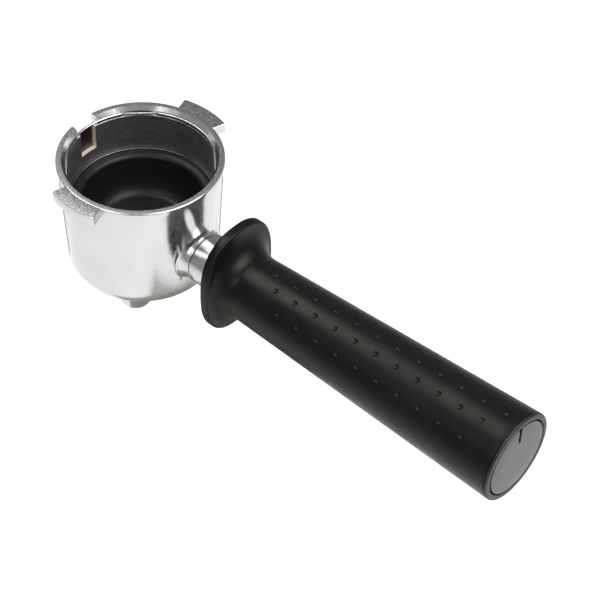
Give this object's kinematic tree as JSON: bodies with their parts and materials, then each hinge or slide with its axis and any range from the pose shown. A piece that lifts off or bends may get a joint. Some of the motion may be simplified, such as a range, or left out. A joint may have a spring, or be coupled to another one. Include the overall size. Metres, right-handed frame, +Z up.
{
  "type": "portafilter",
  "caption": "Espresso portafilter: chromed cup with two locking lugs, lift-out bowl insert, twin spout and a black soft-touch handle with an oval guard.",
  "frame": {"origin": "centre of the rim's top face, on the cup's axis, where the cup seals against its group head", "axes": "+Z up out of the cup along its axis, +X along the handle away from the cup, lugs at -Y and +Y"},
  "size_m": [0.2127, 0.0746, 0.072],
  "materials": {
    "cast_chrome": "polished chrome plate on a zinc die casting, satin on the rim's machined face",
    "turned_chrome": "polished chrome plate on a turned sleeve",
    "spring_steel": "drawn stainless wire",
    "zinc_steel": "zinc-plated steel",
    "black_moulding": "semi-matte moulded black",
    "seal_rubber": "matte moulded silicone",
    "core_plastic": "glass-filled nylon, as moulded",
    "soft_touch": "black soft-touch overmould with a satin sheen",
    "ring_plastic": "dark grey satin moulding",
    "disc_plastic": "fine brushed grey satin"
  },
  "bodies": {
    "holder": {"cup_body": "cast_chrome", "retaining_spring": "spring_steel", "spout_seal": "seal_rubber", "twin_spout": "cast_chrome", "spout_screw": "zinc_steel", "neck_gasket": "seal_rubber", "neck_collar": "turned_chrome", "locating_pin": "zinc_steel", "handle_stud": "zinc_steel", "grip_core": "core_plastic", "grip_sleeve": "soft_touch", "stud_washer": "zinc_steel", "lock_washer": "zinc_steel", "stud_nut": "zinc_steel", "end_plug": "core_plastic", "plug_seal": "seal_rubber", "end_ring": "ring_plastic", "end_disc": "disc_plastic"},
    "insert": {"bowl_insert": "black_moulding", "insert_seal": "seal_rubber"}
  },
  "joints": [
    {"name": "insert_lift", "type": "slide", "parent": "holder", "child": "insert", "axis": [0, 0, 1], "range_m": [0, 0.055]}
  ]
}
